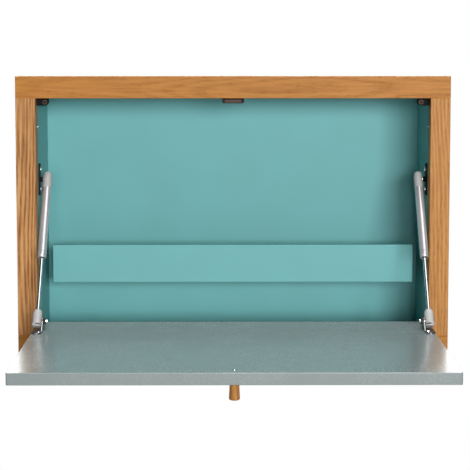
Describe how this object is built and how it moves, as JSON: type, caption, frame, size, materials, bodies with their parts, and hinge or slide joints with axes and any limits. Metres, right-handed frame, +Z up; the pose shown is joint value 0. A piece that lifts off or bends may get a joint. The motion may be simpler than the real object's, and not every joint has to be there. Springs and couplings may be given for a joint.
{
  "type": "wall-hung secretary desk",
  "caption": "Wall-hung drop-front desk: an oak-framed case with painted linings and a rack, and a fold-down lid that becomes the writing surface, held by gas struts.",
  "frame": {"origin": "on the wall plane, midway between the two wall-screw holes of the hanging rail, 64 mm below the top of the case", "axes": "+Y points into the wall, the open front faces -Y, +X runs along the wall, +Z is up; the lid is open at rest"},
  "size_m": [0.75, 0.6155, 0.488],
  "materials": {
    "oak": "oiled oak veneer and solid oak, satin",
    "batten_wood": "planed softwood, unfinished",
    "beech": "plain beech dowel",
    "knob_oak": "turned oak, oiled",
    "teal_paint": "painted board, satin teal",
    "grey_paint": "painted board, satin green-grey",
    "screw_steel": "zinc-plated",
    "plated_steel": "zinc-plated",
    "brown_plastic": "moulded",
    "magnet": "ground",
    "black_plastic": "moulded",
    "bumper_rubber": "soft, matt",
    "black_steel": "black powder coat",
    "chrome_rod": "hard chrome",
    "strike_paint": "painted like the lid",
    "tube_paint": "light grey lacquer, satin",
    "cap_plastic": "light grey, moulded"
  },
  "bodies": {
    "case": {"frame_top_rail": "oak", "frame_bottom_rail": "oak", "frame_stile_left": "oak", "frame_stile_right": "oak", "board_top": "oak", "board_bottom": "oak", "board_left": "oak", "board_right": "oak", "lining_top": "teal_paint", "lining_left": "teal_paint", "lining_right": "teal_paint", "floor_panel": "teal_paint", "back_panel": "teal_paint", "rack_front": "teal_paint", "rack_floor": "teal_paint", "rack_end_left": "teal_paint", "rack_end_right": "teal_paint", "case_cleat": "batten_wood", "wall_rail": "batten_wood", "spacer_batten": "batten_wood", "back_screws": "screw_steel", "dowels": "beech", "catch_housing": "brown_plastic", "catch_magnet": "magnet", "stop_pins": "screw_steel", "corner_stops": "black_plastic", "corner_bumpers": "bumper_rubber", "upper_bracket_left": "black_steel", "upper_bracket_right": "black_steel", "upper_bracket_screws": "screw_steel", "hinge_case_leaves": "plated_steel", "hinge_pins": "plated_steel", "hinge_case_screws": "screw_steel"},
    "lid": {"lid_panel": "grey_paint", "hinge_lid_leaves": "plated_steel", "hinge_lid_screws": "screw_steel", "knob": "knob_oak", "knob_screw": "screw_steel", "catch_strike": "strike_paint", "lid_bracket_left": "plated_steel", "lid_bracket_right": "plated_steel", "lid_bracket_screws": "screw_steel", "lid_ball_studs": "plated_steel", "lid_stud_nuts": "plated_steel"},
    "rod_left_body": {"rod_left": "chrome_rod", "rod_piston_left": "black_plastic", "rod_cap_left": "cap_plastic"},
    "tube_left_body": {"tube_left": "tube_paint", "tube_guide_left": "black_plastic", "tube_cap_left": "cap_plastic", "tube_ball_left": "plated_steel"},
    "rod_right_body": {"rod_right": "chrome_rod", "rod_piston_right": "black_plastic", "rod_cap_right": "cap_plastic"},
    "tube_right_body": {"tube_right": "tube_paint", "tube_guide_right": "black_plastic", "tube_cap_right": "cap_plastic", "tube_ball_right": "plated_steel"}
  },
  "joints": [
    {"name": "lid_hinge", "type": "hinge", "parent": "case", "child": "lid", "pos_m": [0, -0.207, -0.3845], "axis": [-1, 0, 0], "range_deg": [0, 90]},
    {"name": "strut_left_swing", "type": "hinge", "parent": "lid", "child": "rod_left_body", "pos_m": [-0.332, -0.282, -0.3475], "axis": [1, 0.0043, 0.0024], "range_deg": [0, 115]},
    {"name": "strut_left_slide", "type": "slide", "parent": "rod_left_body", "child": "tube_left_body", "axis": [-0.0231, -0.4726, -0.881], "range_m": [0, 0.0686]},
    {"name": "strut_right_swing", "type": "hinge", "parent": "lid", "child": "rod_right_body", "pos_m": [0.332, -0.282, -0.3475], "axis": [1, -0.0043, -0.0024], "range_deg": [0, 115]},
    {"name": "strut_right_slide", "type": "slide", "parent": "rod_right_body", "child": "tube_right_body", "axis": [0.0231, -0.4726, -0.881], "range_m": [0, 0.0686]}
  ],
  "couplings": [
    {"joint": "strut_left_swing", "follows": "lid_hinge", "ratio": 1.2769},
    {"joint": "strut_left_slide", "follows": "lid_hinge", "m_per_rad": 0.04365},
    {"joint": "strut_right_swing", "follows": "lid_hinge", "ratio": 1.2769},
    {"joint": "strut_right_slide", "follows": "lid_hinge", "m_per_rad": 0.04365}
  ]
}
